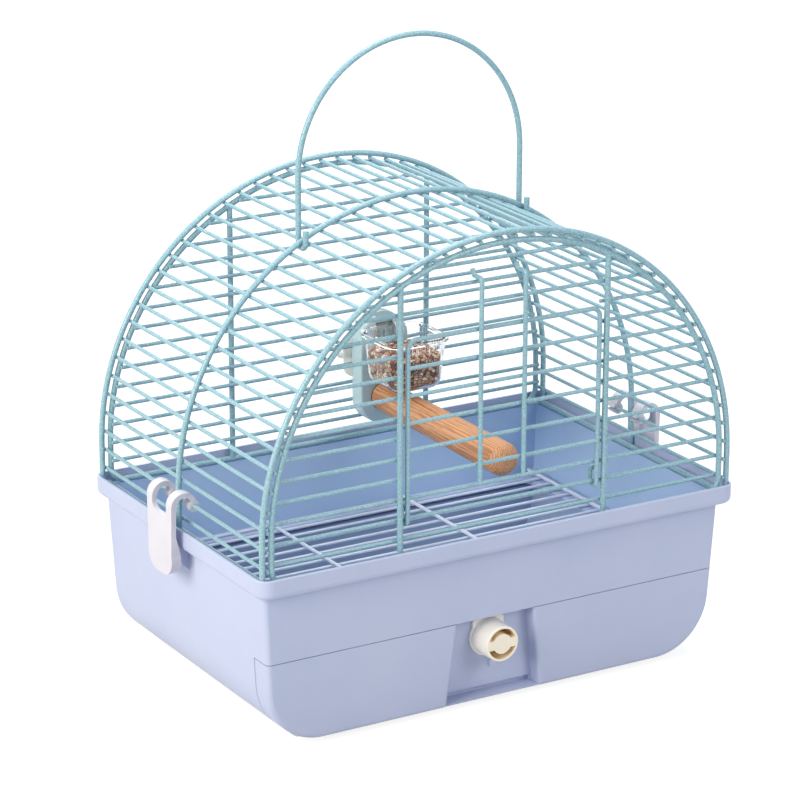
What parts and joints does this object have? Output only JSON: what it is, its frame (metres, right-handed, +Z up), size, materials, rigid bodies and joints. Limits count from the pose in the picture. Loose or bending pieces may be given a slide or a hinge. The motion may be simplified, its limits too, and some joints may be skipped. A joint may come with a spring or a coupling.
{
  "type": "bird travel carrier",
  "caption": "Small bird carrier: plastic base with a pull-out drawer, lift-off domed wire top with a drop-down door, carry handle, side clips, perch and feeder cup.",
  "frame": {"origin": "on the ground under the middle of the carrier", "axes": "+X to the right along the front, +Y from the door to the back, +Z up"},
  "size_m": [0.3534, 0.2253, 0.3981],
  "materials": {
    "base_plastic": "satin",
    "coated_wire": "powder coated",
    "white_plastic": "satin",
    "cream_plastic": "satin",
    "white_wire": "coated",
    "mount_plastic": "satin",
    "perch_wood": "bare",
    "stud_steel": "plain",
    "clear_plastic": "clear",
    "seed": "loose seed"
  },
  "bodies": {
    "base": {"tub": "base_plastic"},
    "grate": {"grate_rods": "white_wire", "grate_cross_rods": "white_wire"},
    "drawer": {"drawer": "base_plastic"},
    "latch": {"latch_knob": "cream_plastic"},
    "wire_top": {"front_arch": "coated_wire", "middle_arch": "coated_wire", "back_arch": "coated_wire", "roof_wires": "coated_wire", "sill_wire_left": "coated_wire", "sill_wire_right": "coated_wire", "front_panel_frame": "coated_wire", "front_bars_lower": "coated_wire", "front_bars_upper": "coated_wire", "front_side_bars_left": "coated_wire", "front_side_bars_right": "coated_wire", "door_post_left": "coated_wire", "door_post_right": "coated_wire", "back_panel_frame": "coated_wire", "back_bars": "coated_wire", "back_post_left": "coated_wire", "back_post_right": "coated_wire", "perch_mount": "mount_plastic", "perch": "perch_wood", "clamp_stud": "stud_steel", "clamp_plate": "white_plastic"},
    "door": {"door_frame": "coated_wire", "door_bars": "coated_wire", "door_stays": "coated_wire"},
    "handle": {"carry_handle": "coated_wire"},
    "clip_l": {"clip_left": "white_plastic"},
    "clip_r": {"clip_right": "white_plastic"},
    "nut": {"wing_nut": "white_plastic"},
    "cup": {"feeder_cup": "clear_plastic", "seed_mix": "seed"}
  },
  "joints": [
    {"name": "grate_lift", "type": "slide", "parent": "base", "child": "grate", "axis": [0, 0, 1], "range_m": [0, 0.04]},
    {"name": "drawer_slide", "type": "slide", "parent": "base", "child": "drawer", "axis": [0, -1, 0], "range_m": [0, 0.15]},
    {"name": "latch_turn", "type": "hinge", "parent": "drawer", "child": "latch", "pos_m": [-0.0012, -0.1, 0.0416], "axis": [0, 1, 0], "range_deg": [0, 90]},
    {"name": "wire_top_lift", "type": "slide", "parent": "base", "child": "wire_top", "axis": [0, 0, 1], "range_m": [0, 0.08]},
    {"name": "door_swing", "type": "hinge", "parent": "wire_top", "child": "door", "pos_m": [0, -0.1015, 0.1328], "axis": [1, 0, 0], "range_deg": [0, 130]},
    {"name": "handle_swing", "type": "hinge", "parent": "wire_top", "child": "handle", "pos_m": [0, 0, 0.27987], "axis": [1, 0, 0], "range_deg": [-75, 75]},
    {"name": "clip_left_turn", "type": "hinge", "parent": "wire_top", "child": "clip_l", "pos_m": [-0.1612, 0, 0.13061], "axis": [0, 1, 0], "range_deg": [0, 20]},
    {"name": "clip_right_turn", "type": "hinge", "parent": "wire_top", "child": "clip_r", "pos_m": [0.1612, 0, 0.13061], "axis": [0, -1, 0], "range_deg": [0, 20]},
    {"name": "wing_nut_turn", "type": "hinge", "parent": "wire_top", "child": "nut", "pos_m": [0.0315, 0.11, 0.1636], "axis": [0, 1, 0], "continuous": true},
    {"name": "cup_lift", "type": "slide", "parent": "wire_top", "child": "cup", "axis": [0, 0, 1], "range_m": [0, 0.04]}
  ]
}
